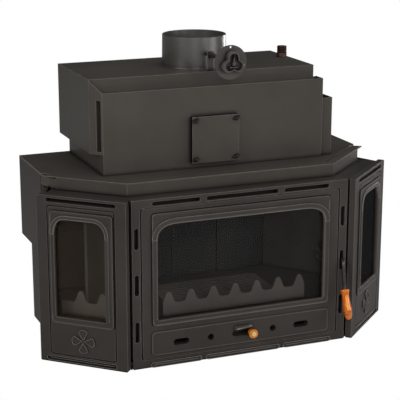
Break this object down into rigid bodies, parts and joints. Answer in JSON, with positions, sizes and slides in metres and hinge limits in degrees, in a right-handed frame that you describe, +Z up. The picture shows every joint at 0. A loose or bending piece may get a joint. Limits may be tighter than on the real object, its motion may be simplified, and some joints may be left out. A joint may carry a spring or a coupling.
{
  "type": "boiler fireplace insert",
  "caption": "Boiler fireplace insert with a three-sided cast front, glazed door and wings, water tank above, flue collar with damper, air slider and lift latch.",
  "frame": {"origin": "on the floor directly under the axis of the flue collar", "axes": "+X to the viewer's right along the width, +Y to the back, +Z up along the flue"},
  "size_m": [1.1564, 0.6479, 0.93],
  "materials": {
    "painted_steel": "satin heat-resistant paint",
    "cast_black": "painted casting",
    "bare_steel": "oiled steel",
    "thread_steel": "primed pipe thread",
    "clear_glass": "clear ceramic glass",
    "turned_wood": "glossy lacquer",
    "knob_wood": "lacquered wood",
    "rope_seal": "glass-fibre rope"
  },
  "bodies": {
    "stove": {"base_frame": "painted_steel", "body_floor": "painted_steel", "outer_casing": "painted_steel", "inner_firebox": "painted_steel", "jacket_strips": "painted_steel", "top_plate": "painted_steel", "firebox_ceiling": "painted_steel", "smoke_throat": "painted_steel", "front_carrier": "painted_steel", "collar_band": "painted_steel", "neck_casing": "painted_steel", "tank_shell": "painted_steel", "smoke_box": "painted_steel", "heat_tubes": "painted_steel", "front_shield": "painted_steel", "cover_seal": "rope_seal", "cover_plate": "painted_steel", "cover_screws": "bare_steel", "side_duct": "painted_steel", "flue_collar": "painted_steel", "water_outlet": "thread_steel", "return_socket": "thread_steel", "well_socket": "thread_steel", "rod_bracket": "painted_steel", "damper_rosette": "cast_black", "centre_frame": "cast_black", "hinge_pins": "bare_steel", "frame_bolts": "bare_steel", "wing_frame_left": "cast_black", "wing_frame_right": "cast_black", "wing_glass_left": "clear_glass", "wing_glass_right": "clear_glass", "wing_bolts": "bare_steel", "wing_clips": "bare_steel", "hearth_plate": "painted_steel", "drawer_guides": "painted_steel", "ash_drawer": "bare_steel", "fire_grate": "cast_black", "front_fence": "cast_black", "side_fences": "cast_black", "back_plates": "cast_black", "side_plates": "cast_black", "smoke_baffle": "painted_steel", "baffle_hangers": "bare_steel", "latch_bracket": "bare_steel"},
    "damper": {"damper_rod": "bare_steel", "damper_blade": "bare_steel", "damper_grip": "cast_black"},
    "handle": {"latch_shaft": "bare_steel", "latch_lever": "bare_steel", "latch_hook": "bare_steel", "handle_grip": "turned_wood"},
    "door": {"door_casting": "cast_black", "door_glass": "clear_glass", "door_seal": "rope_seal", "glass_clips": "bare_steel", "door_striker": "bare_steel", "slider_rails": "bare_steel"},
    "air_control": {"air_slider": "bare_steel", "air_knob": "knob_wood"}
  },
  "joints": [
    {"name": "door_swing", "type": "hinge", "parent": "stove", "child": "door", "pos_m": [-0.31, -0.384, 0.26], "axis": [0, 0, -1], "range_deg": [0, 110]},
    {"name": "air_slide", "type": "slide", "parent": "door", "child": "air_control", "axis": [-1, 0, 0], "range_m": [0, 0.054]},
    {"name": "latch_lift", "type": "hinge", "parent": "stove", "child": "handle", "pos_m": [0.334, -0.352, 0.262], "axis": [-1, 0, 0], "range_deg": [0, 25]},
    {"name": "damper_turn", "type": "hinge", "parent": "stove", "child": "damper", "pos_m": [0, 0, 0.879], "axis": [0, 1, 0], "range_deg": [0, 90]}
  ]
}
